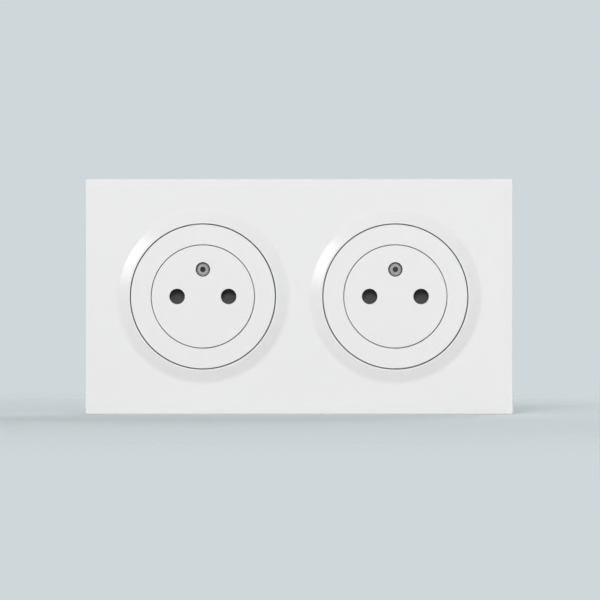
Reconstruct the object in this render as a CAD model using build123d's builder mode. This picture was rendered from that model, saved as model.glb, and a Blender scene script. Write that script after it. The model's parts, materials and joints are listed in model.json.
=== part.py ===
from build123d import *
import os

# Two-gang flush wall socket for round pins, with an earth pin and wells that close flush when empty.
# Millimetres. The wall is the plane Y = 0, the room lies towards -Y, and every height is measured
# from the wall into the room. The origin is on the wall, midway between the two sockets.

# Cover plate
pitch = 71.0                 # between the two socket centres
plate_height = 87.0          # also the width of one gang
plate_depth = 8.0            # wall to the flat front
plate_wall = 2.0
plate_corner = 0.8
edge_band = 3.0              # soft band round the front
edge_drop = 0.3
edge_round = 0.5
collar_rise = 2.6            # flat front to the socket face
collar_width = 5.0
collar_lip = 0.5
collar_cove = 3.0
collar_round = 1.0
collar_skin = 2.3            # collar thickness, measured along the socket axis
locator_wall = 1.5           # tube behind the collar that centres the plate
locator_depth = 6.1
rib_width = 1.2
rib_depth = 1.8
rib_spacing = 32.0
rim_round = 0.2              # small break on visible rims

# Socket cover, the fixed ring round the well
cover_rim = 0.6              # screw to the cover's edge
cover_gap = 0.4
cover_face = 2.2
skirt_wall = 1.2
skirt_depth = 4.6
mouth_depth = 3.0            # length of the narrow mouth that stops the well disc
well_wall = 1.4
boss_radius = 2.0

# Well disc, its retainer and the shutter
disc_radius = 18.9
disc_gap = 0.3
flange_step = 0.9
stop_gap = 0.1
disc_front = 2.2
disc_travel = 14.6
pin_spacing = 19.0
pin_hole_radius = 2.85
pin_length = 19.0
pin_guide_play = 0.2
retainer_thickness = 1.2
retainer_step = 0.3
stake_radius = 0.7
stake_count = 3
stake_angle = 30.0
stake_play = 0.1
pocket_wall = 1.7            # disc front to the shutter pocket, measured along the radius
shutter_depth = 3.4
shutter_play = 0.1
shutter_half = 3.4           # half the shutter's height
shutter_pad = 7.4            # width of the pad behind one pin hole
shutter_edge = 0.6
shutter_land = 1.0
shutter_guide = 0.3
bridge_height = 2.8
bridge_set_back = 0.8
leaf_thickness = 0.35
leaf_width = 2.6
leaf_span = 16.8
leaf_seat = 0.45
leaf_gap = 0.1

# Disc spring
spring_radius = 4.0
spring_wire = 0.8
spring_turns = 6
spring_spare = 2.8           # left between the turns when the disc is fully in
spring_end_gap = 0.08        # wire to its seats
spring_room = 0.4
spring_boss_height = 1.5
spring_boss_gap = 0.3

# Earth pin
earth_offset = 10.0          # above the line of the pin holes
earth_pin_radius = 2.4
earth_hole_play = 0.25       # pin to its hole in the well disc
earth_pin_recess = 0.6
earth_pin_chamfer = 0.5
earth_tail_radius = 1.5
earth_tail_play = 0.05
earth_bore_radius = 1.0
earth_bore_depth = 8.0

# Contacts, straps and terminals
strip = 0.8
strap_width = 6.8
strap_top = 3.1              # contact strap above the pin axis
arm_width = 5.0
arm_height = 5.6
arm_foot = 3.0               # arm centre line from the pin axis, at the strap
arm_waist = 2.6
arm_waist_height = 3.1       # above the strap
arm_flare = 3.1
arm_bend = 1.5
arm_end_gap = 0.3
earth_strap_width = 6.0
earth_strap_foot = 3.0
terminal_width = 7.0
terminal_length = 6.4
terminal_depth = 8.0
terminal_corner = 0.5
terminal_edge = 17.0         # pin line to the outer end of the live and neutral terminals
earth_terminal_edge = 18.6
wire_radius = 2.0
wire_cover = 1.0
terminal_screw_radius = 1.45
terminal_screw_play = 0.05
terminal_head_radius = 2.5
terminal_head_height = 1.6
terminal_head_lift = 0.4
terminal_tip_gap = 0.1
screw_slot = 0.8
screw_round = 0.4

# Contact cover and rear housing
floor_gap = 0.4
contact_cover_thickness = 1.2
contact_cover_play = 0.3
housing_gap = 0.3
housing_wall = 1.2
housing_round = 1.0
housing_margin = 0.6
housing_rib_width = 1.4
housing_rib_rise = 0.8
housing_rib_angles = (0, 90, 135, 180, 270, 315)
back_recess = 0.5
back_recess_wall = 1.0       # recess to the terminal notches and the edge
pocket_play = 0.4
pin_tip_room = 1.0
ear_radius = 2.6
ear_thickness = 2.4
housing_screw_radius = 1.0
housing_screw_play = 0.2
housing_screw_pilot = 0.05
housing_screw_grip = 5.0     # length held in the socket cover's boss
housing_head_radius = 1.8
housing_head_height = 1.5
housing_head_gap = 0.15
housing_screw_angle = 45.0

# Support frame
support_gap = 0.6            # between the frames of neighbouring gangs
support_thickness = 1.2
support_corner = 3.0
support_hole_gap = 0.4
fixing_spacing = 60.0
slot_width = 4.2
slot_length = 7.0
side_slot_length = 5.2       # short, so that none shows through the gap round the socket cover
lip_height = 2.4
lip_length = 54.0
tongue_spacing = 55.0
tongue_width = 5.0
tongue_height = 4.0
tongue_play = 0.2
tongue_chamfer = 1.0
sleeve_wall = 1.5
sleeve_gap = 1.0

# Heights from the wall
face_height = plate_depth + collar_rise
plate_inside = plate_depth - plate_wall
mouth_height = face_height - mouth_depth
flange_height = mouth_height - stop_gap
shutter_front = face_height - disc_front - shutter_play
shutter_back = shutter_front - shutter_depth
disc_back = shutter_back - shutter_play
retainer_back = disc_back - retainer_thickness
contact_cover_front = retainer_back - disc_travel - floor_gap
block_front = contact_cover_front - contact_cover_thickness
well_end = block_front + housing_gap
strap_front = block_front - arm_height
strap_back = strap_front - strip
spring_floor = retainer_back - disc_travel - spring_turns * spring_wire - spring_spare
pin_tip_floor = face_height - disc_travel - pin_length - pin_tip_room
wire_height = strap_back - wire_cover - wire_radius
terminal_back = strap_back - terminal_depth
terminal_head_front = terminal_back - terminal_head_lift
terminal_head_back = terminal_head_front - terminal_head_height
housing_back = terminal_head_back - housing_margin

# Radii and places that follow from the sizes above
plate_width = pitch + plate_height
mouth_radius = disc_radius + disc_gap
flange_radius = disc_radius + flange_step
well_radius = flange_radius + disc_gap
tube_radius = well_radius + well_wall
pocket_radius = disc_radius - pocket_wall
retainer_radius = flange_radius - retainer_step
stake_circle = (pocket_radius + retainer_radius) / 2
pin_x = pin_spacing / 2
pin_guide_radius = pin_hole_radius + pin_guide_play
earth_hole_radius = earth_pin_radius + earth_hole_play
spring_pocket_radius = spring_radius + spring_wire / 2 + spring_room
spring_boss_radius = spring_radius - spring_wire / 2 - spring_boss_gap
housing_bore = tube_radius + housing_gap
housing_radius = housing_bore + housing_wall
screw_circle = housing_radius + housing_head_radius + housing_head_gap
screw_clear_radius = housing_screw_radius + housing_screw_play
cover_radius = screw_circle + housing_screw_radius + cover_rim
opening_radius = cover_radius + cover_gap
collar_radius = opening_radius + collar_width
collar_slope = collar_rise / (collar_width - collar_lip)
locator_radius = opening_radius + locator_wall
support_size = pitch - support_gap
support_hole = tube_radius + support_hole_gap
terminal_z = terminal_length / 2 - terminal_edge
earth_terminal_z = earth_terminal_edge - terminal_length / 2
sockets = {"left": -pitch / 2, "right": pitch / 2}


def facing(x, height, z=0):
    """Plane parallel to the wall: local x to the right, local y up, local z into the room."""
    return Plane(origin=(x, -height, z), x_dir=(1, 0, 0), z_dir=(0, -1, 0))


def lengthwise(x, z=0):
    """Level plane through an axis at x: local x is the radius, local y is the height."""
    return Plane(origin=(x, 0, z), x_dir=(1, 0, 0), z_dir=(0, 0, -1))


def upright(x):
    """Upright plane square to the wall: local x is up, local y is the height."""
    return Plane(origin=(x, 0, 0), x_dir=(0, 0, 1), z_dir=(1, 0, 0))


def axis_at(x, z=0):
    """Axis square to the wall."""
    return Axis((x, 0, z), (0, 1, 0))


def rings(part, radius, height):
    """Circular edges of one radius at one height."""
    return part.edges().filter_by(GeomType.CIRCLE).filter_by(
        lambda edge: abs(edge.radius - radius) < 0.01 and abs(edge.arc_center.Y + height) < 0.01
    )


def make_cover_plate():
    band_height = plate_depth - edge_drop
    centres = [(x, 0) for x in sockets.values()]
    with BuildPart() as cover_plate:
        # Flat front with a soft band along its edges
        with BuildSketch(facing(0, 0)):
            RectangleRounded(plate_width, plate_height, plate_corner)
        extrude(amount=band_height)
        with BuildSketch(facing(0, band_height)):
            RectangleRounded(plate_width, plate_height, plate_corner)
        with BuildSketch(facing(0, plate_depth)):
            RectangleRounded(plate_width - 2 * edge_band, plate_height - 2 * edge_band, plate_corner)
        loft(ruled=True)
        brow = cover_plate.edges().filter_by(lambda edge: abs(edge.center().Y + band_height) < 0.001)
        fillet(brow, edge_round)

        # Hollow back
        with BuildSketch(facing(0, 0)):
            Rectangle(plate_width - 2 * plate_wall, plate_height - 2 * plate_wall)
        extrude(amount=plate_inside, mode=Mode.SUBTRACT)

        # Raised collars, hollow behind
        for x in sockets.values():
            with BuildSketch(lengthwise(x)):
                with BuildLine():
                    Polyline(
                        (opening_radius, plate_inside),
                        (opening_radius, face_height),
                        (opening_radius + collar_lip, face_height),
                        (collar_radius, plate_depth),
                        (collar_radius, plate_inside),
                        close=True,
                    )
                make_face()
            revolve(axis=axis_at(x))
        with BuildSketch(facing(0, 0)):
            with Locations(*centres):
                Circle(opening_radius)
        extrude(amount=face_height, mode=Mode.SUBTRACT)
        flat_between = pitch / 2 - collar_radius
        fillet(rings(cover_plate, collar_radius, plate_depth), min(collar_cove, 3 * flat_between))
        fillet(rings(cover_plate, opening_radius + collar_lip, face_height), collar_round)
        fillet(rings(cover_plate, opening_radius, face_height), rim_round)
        recess_height = face_height - (locator_wall - collar_lip) * collar_slope - collar_skin
        recess_radius = locator_radius + (recess_height - plate_inside) / collar_slope
        for x in sockets.values():
            with BuildSketch(lengthwise(x)):
                with BuildLine():
                    Polyline(
                        (locator_radius, plate_inside),
                        (locator_radius, recess_height),
                        (recess_radius, plate_inside),
                        close=True,
                    )
                make_face()
            revolve(axis=axis_at(x), mode=Mode.SUBTRACT)

        # Tubes that centre the plate on the socket covers
        locator_end = face_height - locator_depth
        with BuildSketch(facing(0, locator_end)):
            with Locations(*centres):
                Circle(locator_radius)
                Circle(opening_radius, mode=Mode.SUBTRACT)
        extrude(amount=plate_inside - locator_end)

        # Stiffening ribs
        inner_edge = plate_height / 2 - plate_wall
        rib_start = (locator_radius**2 - (rib_spacing / 2) ** 2) ** 0.5
        rib_length = inner_edge - rib_start
        with BuildSketch(facing(0, plate_inside - rib_depth)):
            Rectangle(rib_width, 2 * inner_edge)
            with Locations(*centres):
                with GridLocations(rib_spacing, 2 * inner_edge - rib_length, 2, 2):
                    Rectangle(rib_width, rib_length)
        extrude(amount=rib_depth)

        # Sleeves that grip the support frames' tongues
        sleeve_end = support_thickness + sleeve_gap
        with BuildSketch(facing(0, sleeve_end)):
            slit_width = tongue_width + 2 * tongue_play
            slit_height = support_thickness + 2 * tongue_play
            with Locations(*centres):
                with GridLocations(tongue_spacing, tongue_spacing, 2, 2):
                    Rectangle(slit_width + 2 * sleeve_wall, slit_height + 2 * sleeve_wall)
                    Rectangle(slit_width, slit_height, mode=Mode.SUBTRACT)
        extrude(amount=plate_inside - sleeve_end)
    return cover_plate.part


def make_support_frame(x):
    with BuildPart() as support_frame:
        # Sheet with the housing hole, slotted fixing holes, screw holes and the tongues' windows
        with BuildSketch(facing(x, 0)):
            RectangleRounded(support_size, support_size, support_corner)
            Circle(support_hole, mode=Mode.SUBTRACT)
            with GridLocations(0, fixing_spacing, 1, 2):
                SlotOverall(slot_length, slot_width, mode=Mode.SUBTRACT)
            with GridLocations(fixing_spacing, 0, 2, 1):
                SlotOverall(side_slot_length, slot_width, mode=Mode.SUBTRACT)
            with PolarLocations(screw_circle, 2, housing_screw_angle):
                Circle(screw_clear_radius, mode=Mode.SUBTRACT)
            window = tongue_spacing / 2 - support_thickness / 2 - tongue_height / 2
            with GridLocations(tongue_spacing, 2 * window, 2, 2):
                Rectangle(tongue_width, tongue_height, mode=Mode.SUBTRACT)
        extrude(amount=support_thickness)
        # Tongues bent up out of the windows, and stiffening lips along the top and bottom edges
        with BuildSketch(facing(x, support_thickness)):
            with GridLocations(tongue_spacing, tongue_spacing, 2, 2):
                Rectangle(tongue_width, support_thickness)
        extrude(amount=tongue_height)
        tip = support_thickness + tongue_height
        tip_edges = support_frame.edges().filter_by(Axis.Z)
        chamfer(tip_edges.filter_by(lambda edge: abs(edge.center().Y + tip) < 0.001), tongue_chamfer)
        with BuildSketch(facing(x, support_thickness)):
            with GridLocations(0, support_size - support_thickness, 1, 2):
                Rectangle(lip_length, support_thickness)
        extrude(amount=lip_height)
    return support_frame.part


def make_socket_cover(x):
    cover_back = face_height - cover_face
    skirt_end = face_height - skirt_depth
    with BuildPart() as socket_cover:
        with BuildSketch(lengthwise(x)):
            with BuildLine():
                Polyline(
                    (mouth_radius, face_height),
                    (cover_radius, face_height),
                    (cover_radius, skirt_end),
                    (cover_radius - skirt_wall, skirt_end),
                    (cover_radius - skirt_wall, cover_back),
                    (tube_radius, cover_back),
                    (tube_radius, well_end),
                    (well_radius, well_end),
                    (well_radius, mouth_height),
                    (mouth_radius, mouth_height),
                    close=True,
                )
            make_face()
        revolve(axis=axis_at(x))
        fillet(rings(socket_cover, cover_radius, face_height), rim_round)
        fillet(rings(socket_cover, mouth_radius, face_height), rim_round)
        # Screw bosses that stand on the support frame
        with BuildSketch(facing(x, support_thickness)):
            with PolarLocations(screw_circle, 2, housing_screw_angle):
                Circle(boss_radius)
            Circle(cover_radius, mode=Mode.INTERSECT)
        extrude(amount=cover_back - support_thickness)
        with BuildSketch(facing(x, support_thickness)):
            with PolarLocations(screw_circle, 2, housing_screw_angle):
                Circle(housing_screw_radius + housing_screw_pilot)
        extrude(amount=housing_screw_grip + housing_screw_play, mode=Mode.SUBTRACT)
    return socket_cover.part


def make_well_disc(x):
    with BuildPart() as well_disc:
        with BuildSketch(lengthwise(x)):
            with BuildLine():
                Polyline(
                    (0, face_height),
                    (disc_radius, face_height),
                    (disc_radius, flange_height),
                    (flange_radius, flange_height),
                    (flange_radius, disc_back),
                    (0, disc_back),
                    close=True,
                )
            make_face()
        revolve(axis=axis_at(x))
        fillet(rings(well_disc, disc_radius, face_height), rim_round)
        # Pocket for the shutter and its spring
        pocket_half = pin_x + shutter_pad / 2 + shutter_guide
        pocket_top = shutter_half + shutter_guide
        with BuildSketch(facing(x, disc_back)):
            Circle(pocket_radius)
            with Locations((0, pocket_top)):
                Rectangle(
                    2 * pocket_half,
                    pocket_radius + pocket_top,
                    align=(Align.CENTER, Align.MAX),
                    mode=Mode.INTERSECT,
                )
        extrude(amount=shutter_depth + 2 * shutter_play, mode=Mode.SUBTRACT)
        # Pin holes and earth hole
        with BuildSketch(facing(x, disc_back)):
            with Locations((-pin_x, 0), (pin_x, 0)):
                Circle(pin_hole_radius)
            with Locations((0, earth_offset)):
                Circle(earth_hole_radius)
        extrude(amount=face_height - disc_back, mode=Mode.SUBTRACT)
        fillet(rings(well_disc, pin_hole_radius, face_height), rim_round)
        fillet(rings(well_disc, earth_hole_radius, face_height), rim_round)
        # Stakes that hold the retainer
        with BuildSketch(facing(x, disc_back)):
            with PolarLocations(stake_circle, stake_count, stake_angle):
                Circle(stake_radius)
        extrude(amount=-retainer_thickness)
    return well_disc.part


def make_shutter_retainer(x):
    with BuildPart() as shutter_retainer:
        with BuildSketch(facing(x, retainer_back)):
            Circle(retainer_radius)
            with Locations((-pin_x, 0), (pin_x, 0)):
                Circle(pin_guide_radius, mode=Mode.SUBTRACT)
            with Locations((0, earth_offset)):
                Circle(earth_hole_radius, mode=Mode.SUBTRACT)
            with PolarLocations(stake_circle, stake_count, stake_angle):
                Circle(stake_radius + stake_play, mode=Mode.SUBTRACT)
        extrude(amount=retainer_thickness)
        # Boss that centres the disc spring
        with BuildSketch(facing(x, retainer_back)):
            Circle(spring_boss_radius)
        extrude(amount=-spring_boss_height)
    return shutter_retainer.part


def make_shutter(x):
    with BuildPart() as shutter:
        # One wedge-shaped pad behind each pin hole: a pin pressed on the ramp drives it down
        for pad_x in (x - pin_x, x + pin_x):
            with BuildSketch(upright(pad_x)):
                with BuildLine():
                    Polyline(
                        (-shutter_half, shutter_back),
                        (shutter_half, shutter_back),
                        (shutter_half, shutter_back + shutter_edge),
                        (shutter_land - shutter_half, shutter_front),
                        (-shutter_half, shutter_front),
                        close=True,
                    )
                make_face()
            extrude(amount=shutter_pad / 2, both=True)
        # Bridge between the pads, so that both open together
        with BuildSketch(facing(x, shutter_back)):
            with Locations((0, -shutter_half)):
                Rectangle(pin_spacing - shutter_pad, bridge_height, align=(Align.CENTER, Align.MIN))
        extrude(amount=shutter_depth - bridge_set_back)
    return shutter.part


def make_shutter_spring(x):
    crown = -shutter_half - leaf_gap - leaf_thickness / 2
    foot = -((pocket_radius - leaf_seat) ** 2 - (leaf_span / 2) ** 2) ** 0.5
    leaf_height = (shutter_front + shutter_back - leaf_width) / 2
    with BuildPart() as shutter_spring:
        with BuildSketch(facing(x, leaf_height)):
            with BuildLine():
                ThreePointArc((-leaf_span / 2, foot), (0, crown), (leaf_span / 2, foot))
            trace(line_width=leaf_thickness)
        extrude(amount=leaf_width)
    return shutter_spring.part


def make_disc_spring(x):
    end_room = spring_wire / 2 + spring_end_gap
    coil_height = retainer_back - spring_floor - 2 * end_room
    centre = Vector(x, -spring_floor - end_room, 0)
    with BuildPart() as disc_spring:
        with BuildLine() as coil:
            Helix(coil_height / spring_turns, coil_height, spring_radius, center=centre, direction=(0, -1, 0))
        start = coil.line @ 0
        with BuildSketch(Plane(origin=start, x_dir=start - centre, z_dir=coil.line % 0)):
            Rectangle(spring_wire, spring_wire)
        sweep(is_frenet=True)
    return disc_spring.part


def make_earth_pin(x):
    tip = face_height - earth_pin_recess
    with BuildPart() as earth_pin:
        with BuildSketch(lengthwise(x, earth_offset)):
            with BuildLine():
                Polyline(
                    (0, strap_back),
                    (earth_tail_radius, strap_back),
                    (earth_tail_radius, strap_front),
                    (earth_pin_radius, strap_front),
                    (earth_pin_radius, tip - earth_pin_chamfer),
                    (earth_pin_radius - earth_pin_chamfer, tip),
                    (earth_bore_radius, tip),
                    (earth_bore_radius, tip - earth_bore_depth),
                    (0, tip - earth_bore_depth),
                    close=True,
                )
            make_face()
        revolve(axis=axis_at(x, earth_offset))
    return earth_pin.part


def make_earth_strap(x):
    strap_start = earth_offset - earth_strap_foot
    with BuildPart() as earth_strap:
        with BuildSketch(facing(x, strap_back)):
            with Locations((0, strap_start)):
                Rectangle(
                    earth_strap_width,
                    earth_terminal_edge - strap_start,
                    align=(Align.CENTER, Align.MIN),
                )
            with Locations((0, earth_offset)):
                Circle(earth_tail_radius + earth_tail_play, mode=Mode.SUBTRACT)
        extrude(amount=strip)
    return earth_strap.part


def make_pin_contact(x):
    with BuildPart() as pin_contact:
        # Flat strap from the pin to the terminal
        with BuildSketch(facing(x, strap_back)):
            with Locations((0, strap_top)):
                Rectangle(strap_width, strap_top + terminal_edge, align=(Align.CENTER, Align.MAX))
            Circle(arm_foot - strip / 2, mode=Mode.SUBTRACT)
        extrude(amount=strip)
        # Two sprung arms, pinched at the waist and flared at the mouth
        with BuildSketch(lengthwise(x)):
            for side in (-1, 1):
                with BuildLine():
                    FilletPolyline(
                        (side * arm_foot, strap_back + strip / 2),
                        (side * arm_waist, strap_front + arm_waist_height),
                        (side * arm_flare, block_front - arm_end_gap),
                        radius=arm_bend,
                    )
                trace(line_width=strip)
        extrude(amount=arm_width / 2, both=True)
    return pin_contact.part


def make_terminal(x, z):
    with BuildPart() as terminal:
        with BuildSketch(facing(x, terminal_back, z)):
            RectangleRounded(terminal_width, terminal_length, terminal_corner)
        extrude(amount=terminal_depth)
        # Wire bore, along Z, and the hole of its clamping screw
        with BuildSketch(Plane(origin=(x, -wire_height, z), x_dir=(1, 0, 0), z_dir=(0, 0, 1))):
            Circle(wire_radius)
        extrude(amount=terminal_length / 2, both=True, mode=Mode.SUBTRACT)
        with BuildSketch(facing(x, terminal_back, z)):
            Circle(terminal_screw_radius + terminal_screw_play)
        extrude(amount=wire_height - terminal_back, mode=Mode.SUBTRACT)
    return terminal.part


def make_terminal_screws(x):
    places = [(-pin_x, terminal_z), (pin_x, terminal_z), (0, earth_terminal_z)]
    tip = wire_height - wire_radius - terminal_tip_gap
    with BuildPart() as terminal_screws:
        with BuildSketch(facing(x, terminal_head_back)):
            with Locations(*places):
                Circle(terminal_head_radius)
        extrude(amount=terminal_head_height)
        fillet(rings(terminal_screws, terminal_head_radius, terminal_head_back), screw_round)
        with BuildSketch(facing(x, terminal_head_front)):
            with Locations(*places):
                Circle(terminal_screw_radius)
        extrude(amount=tip - terminal_head_front)
        with BuildSketch(facing(x, terminal_head_back)):
            with Locations(*places):
                Rectangle(2 * terminal_head_radius, screw_slot)
        extrude(amount=screw_slot, mode=Mode.SUBTRACT)
    return terminal_screws.part


def make_housing_screws(x):
    with BuildPart() as housing_screws:
        with BuildSketch(facing(x, -ear_thickness)):
            with PolarLocations(screw_circle, 2, housing_screw_angle):
                Circle(housing_head_radius)
        extrude(amount=-housing_head_height)
        head_back = -ear_thickness - housing_head_height
        fillet(rings(housing_screws, housing_head_radius, head_back), screw_round)
        with BuildSketch(facing(x, -ear_thickness)):
            with PolarLocations(screw_circle, 2, housing_screw_angle):
                Circle(housing_screw_radius)
        extrude(amount=ear_thickness + support_thickness + housing_screw_grip)
        with BuildSketch(facing(x, head_back)):
            with PolarLocations(screw_circle, 2, housing_screw_angle):
                Rectangle(2 * housing_head_radius, screw_slot)
        extrude(amount=screw_slot, mode=Mode.SUBTRACT)
    return housing_screws.part


def make_contact_cover(x):
    with BuildPart() as contact_cover:
        with BuildSketch(facing(x, block_front)):
            Circle(well_radius - contact_cover_play)
            Circle(spring_pocket_radius, mode=Mode.SUBTRACT)
            with Locations((-pin_x, 0), (pin_x, 0)):
                Circle(pin_guide_radius, mode=Mode.SUBTRACT)
            with Locations((0, earth_offset)):
                Circle(earth_pin_radius + pin_guide_play, mode=Mode.SUBTRACT)
        extrude(amount=contact_cover_thickness)
    return contact_cover.part


def make_rear_housing(x):
    with BuildPart() as rear_housing:
        # Cup with a thick floor
        with BuildSketch(facing(x, housing_back)):
            Circle(housing_radius)
        extrude(amount=-housing_back)
        fillet(rings(rear_housing, housing_radius, housing_back), housing_round)
        with BuildSketch(facing(x, block_front)):
            Circle(housing_bore)
        extrude(amount=-block_front, mode=Mode.SUBTRACT)
        # Ribs down the outside
        with BuildSketch(facing(x, strap_back)):
            for angle in housing_rib_angles:
                with PolarLocations(housing_radius, 1, angle):
                    Rectangle(2 * housing_rib_rise, housing_rib_width)
            Circle(housing_bore, mode=Mode.SUBTRACT)
        extrude(amount=-strap_back)
        # Screw ears
        with BuildSketch(facing(x, 0)):
            with PolarLocations(screw_circle, 2, housing_screw_angle):
                Circle(ear_radius)
            Circle(housing_bore, mode=Mode.SUBTRACT)
        extrude(amount=-ear_thickness)
        with BuildSketch(facing(x, 0)):
            with PolarLocations(screw_circle, 2, housing_screw_angle):
                Circle(screw_clear_radius)
        extrude(amount=-ear_thickness, mode=Mode.SUBTRACT)
        # Pockets for the straps and arms, open to the front
        pocket_top = strap_top + pocket_play
        pocket_length = pocket_top + terminal_edge + pocket_play
        earth_start = earth_offset - earth_strap_foot - pocket_play
        earth_length = earth_terminal_edge + pocket_play - earth_start
        with BuildSketch(facing(x, strap_back)):
            with Locations((-pin_x, pocket_top), (pin_x, pocket_top)):
                Rectangle(strap_width + 2 * pocket_play, pocket_length, align=(Align.CENTER, Align.MAX))
            with Locations((0, earth_start)):
                Rectangle(
                    earth_strap_width + 2 * pocket_play,
                    earth_length,
                    align=(Align.CENTER, Align.MIN),
                )
        extrude(amount=block_front - strap_back, mode=Mode.SUBTRACT)
        # Wells for the pin tips and the disc spring
        with BuildSketch(facing(x, pin_tip_floor)):
            with Locations((-pin_x, 0), (pin_x, 0)):
                Circle(pin_guide_radius)
        extrude(amount=block_front - pin_tip_floor, mode=Mode.SUBTRACT)
        with BuildSketch(facing(x, spring_floor)):
            Circle(spring_pocket_radius)
        extrude(amount=block_front - spring_floor, mode=Mode.SUBTRACT)
        # Terminal notches, open to the side and the back
        notch_width = terminal_width + 2 * pocket_play
        notch_start = terminal_edge - terminal_length - pocket_play
        earth_notch_start = earth_terminal_edge - terminal_length - pocket_play
        with BuildSketch(facing(x, housing_back)):
            with Locations((-pin_x, -notch_start), (pin_x, -notch_start)):
                Rectangle(notch_width, housing_radius - notch_start, align=(Align.CENTER, Align.MAX))
            with Locations((0, earth_notch_start)):
                Rectangle(notch_width, housing_radius - earth_notch_start, align=(Align.CENTER, Align.MIN))
        extrude(amount=strap_back - housing_back, mode=Mode.SUBTRACT)
        # Shallow recess in the back, between the notches
        recess_half = pin_x - notch_width / 2 - back_recess_wall
        recess_top = earth_notch_start - back_recess_wall
        recess_bottom = -(housing_radius - housing_round - back_recess_wall)
        with BuildSketch(facing(x, housing_back)):
            with Locations((0, recess_top)):
                Rectangle(2 * recess_half, recess_top - recess_bottom, align=(Align.CENTER, Align.MAX))
        extrude(amount=back_recess, mode=Mode.SUBTRACT)
    return rear_housing.part


def write(piece, name):
    piece.label = name
    export_step(piece, f"parts/{name}.step")


os.makedirs("parts", exist_ok=True)
write(make_cover_plate(), "cover_plate")
for side, x in sockets.items():
    write(make_support_frame(x), f"{side}_support_frame")
    write(make_socket_cover(x), f"{side}_socket_cover")
    write(make_well_disc(x), f"{side}_well_disc")
    write(make_shutter_retainer(x), f"{side}_shutter_retainer")
    write(make_shutter(x), f"{side}_shutter")
    write(make_shutter_spring(x), f"{side}_shutter_spring")
    write(make_disc_spring(x), f"{side}_disc_spring")
    write(make_earth_pin(x), f"{side}_earth_pin")
    write(make_earth_strap(x), f"{side}_earth_strap")
    write(make_pin_contact(x + pin_x), f"{side}_live_contact")
    write(make_pin_contact(x - pin_x), f"{side}_neutral_contact")
    write(make_terminal(x + pin_x, terminal_z), f"{side}_live_terminal")
    write(make_terminal(x - pin_x, terminal_z), f"{side}_neutral_terminal")
    write(make_terminal(x, earth_terminal_z), f"{side}_earth_terminal")
    write(make_terminal_screws(x), f"{side}_terminal_screws")
    write(make_contact_cover(x), f"{side}_contact_cover")
    write(make_rear_housing(x), f"{side}_rear_housing")
    write(make_housing_screws(x), f"{side}_housing_screws")
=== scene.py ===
# %% [markdown]
# # A double wall socket
# Two round wells for mains plugs sit side by side in one white plate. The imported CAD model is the
# fixed frame: every piece below is built in metres, in the same axes, with the mounting plane at Y = 0,
# the front towards -Y and Z up. The frame gives the sizes, and this lesson adds the finishes, the
# springs, the screws, the softened edges and the studio.

# %% Load the frame
import json
import math

import bmesh
import bpy
from mathutils import Matrix, Vector


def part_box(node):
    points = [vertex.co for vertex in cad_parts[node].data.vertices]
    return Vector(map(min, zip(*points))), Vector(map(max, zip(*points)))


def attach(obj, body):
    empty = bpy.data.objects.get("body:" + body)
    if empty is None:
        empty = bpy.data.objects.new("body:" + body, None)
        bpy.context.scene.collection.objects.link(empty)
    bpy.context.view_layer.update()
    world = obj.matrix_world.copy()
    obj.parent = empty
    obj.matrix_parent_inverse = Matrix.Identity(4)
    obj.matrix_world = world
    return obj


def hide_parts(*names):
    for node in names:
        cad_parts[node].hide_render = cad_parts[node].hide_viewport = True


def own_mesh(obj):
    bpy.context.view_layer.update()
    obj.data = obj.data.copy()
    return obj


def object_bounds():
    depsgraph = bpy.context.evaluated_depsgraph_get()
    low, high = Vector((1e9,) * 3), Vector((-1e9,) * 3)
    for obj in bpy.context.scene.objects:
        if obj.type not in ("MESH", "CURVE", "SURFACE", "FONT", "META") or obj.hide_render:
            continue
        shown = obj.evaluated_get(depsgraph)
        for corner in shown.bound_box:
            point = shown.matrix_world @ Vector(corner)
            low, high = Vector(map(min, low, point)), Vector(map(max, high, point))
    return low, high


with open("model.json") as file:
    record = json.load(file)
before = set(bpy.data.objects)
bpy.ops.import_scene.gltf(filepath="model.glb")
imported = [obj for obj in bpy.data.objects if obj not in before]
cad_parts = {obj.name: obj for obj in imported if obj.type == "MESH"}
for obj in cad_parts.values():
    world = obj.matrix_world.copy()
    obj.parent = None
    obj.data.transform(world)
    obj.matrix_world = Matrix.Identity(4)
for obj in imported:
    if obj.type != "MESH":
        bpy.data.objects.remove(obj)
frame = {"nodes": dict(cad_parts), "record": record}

cad_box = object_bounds()
MM = 0.001
sides = ("left", "right")
nodes = frame["nodes"]
scene = bpy.context.scene

# %% [markdown]
# ## Two small helpers
# Colours are written as sRGB hex values, the way a colour card gives them, and Blender's sockets want
# linear light, so one function turns them. Node trees are built in code, and one function adds any
# node and gives back its outputs. Its settings are properties, and its inputs are values or links from
# other nodes. A list joins several links to one input.


# %% Colour and node helpers
def linear(hex_colour):
    """An opaque sRGB colour as linear light, by the curve of the sRGB standard."""
    channels = [int(hex_colour[i:i + 2], 16) / 255 for i in (1, 3, 5)]
    light = [c / 12.92 if c <= 0.04045 else ((c + 0.055) / 1.055) ** 2.4 for c in channels]
    return (*light, 1.0)


def add(tree, kind, inputs=None, **settings):
    """Adds a node, sets it, fills or links its inputs, and gives back its outputs."""
    made = tree.nodes.new(kind)
    for name, value in settings.items():
        setattr(made, name, value)
    for name, value in (inputs or {}).items():
        for source in value if isinstance(value, list) else [value]:
            if isinstance(source, bpy.types.NodeSocket):
                tree.links.new(source, made.inputs[name])
            else:
                made.inputs[name].default_value = source
    return made.outputs


print("mid grey in linear light", [round(c, 3) for c in linear("#808080")])

# %% [markdown]
# ## The camera
# The photograph looks straight at the plate with a long lens, so the plate's edges are square and its
# sides don't show. A 300 mm lens stands back until the picture is as wide as it is in the photograph,
# 221 mm at the socket faces, and the plate sits a little above the middle of the frame.

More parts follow.
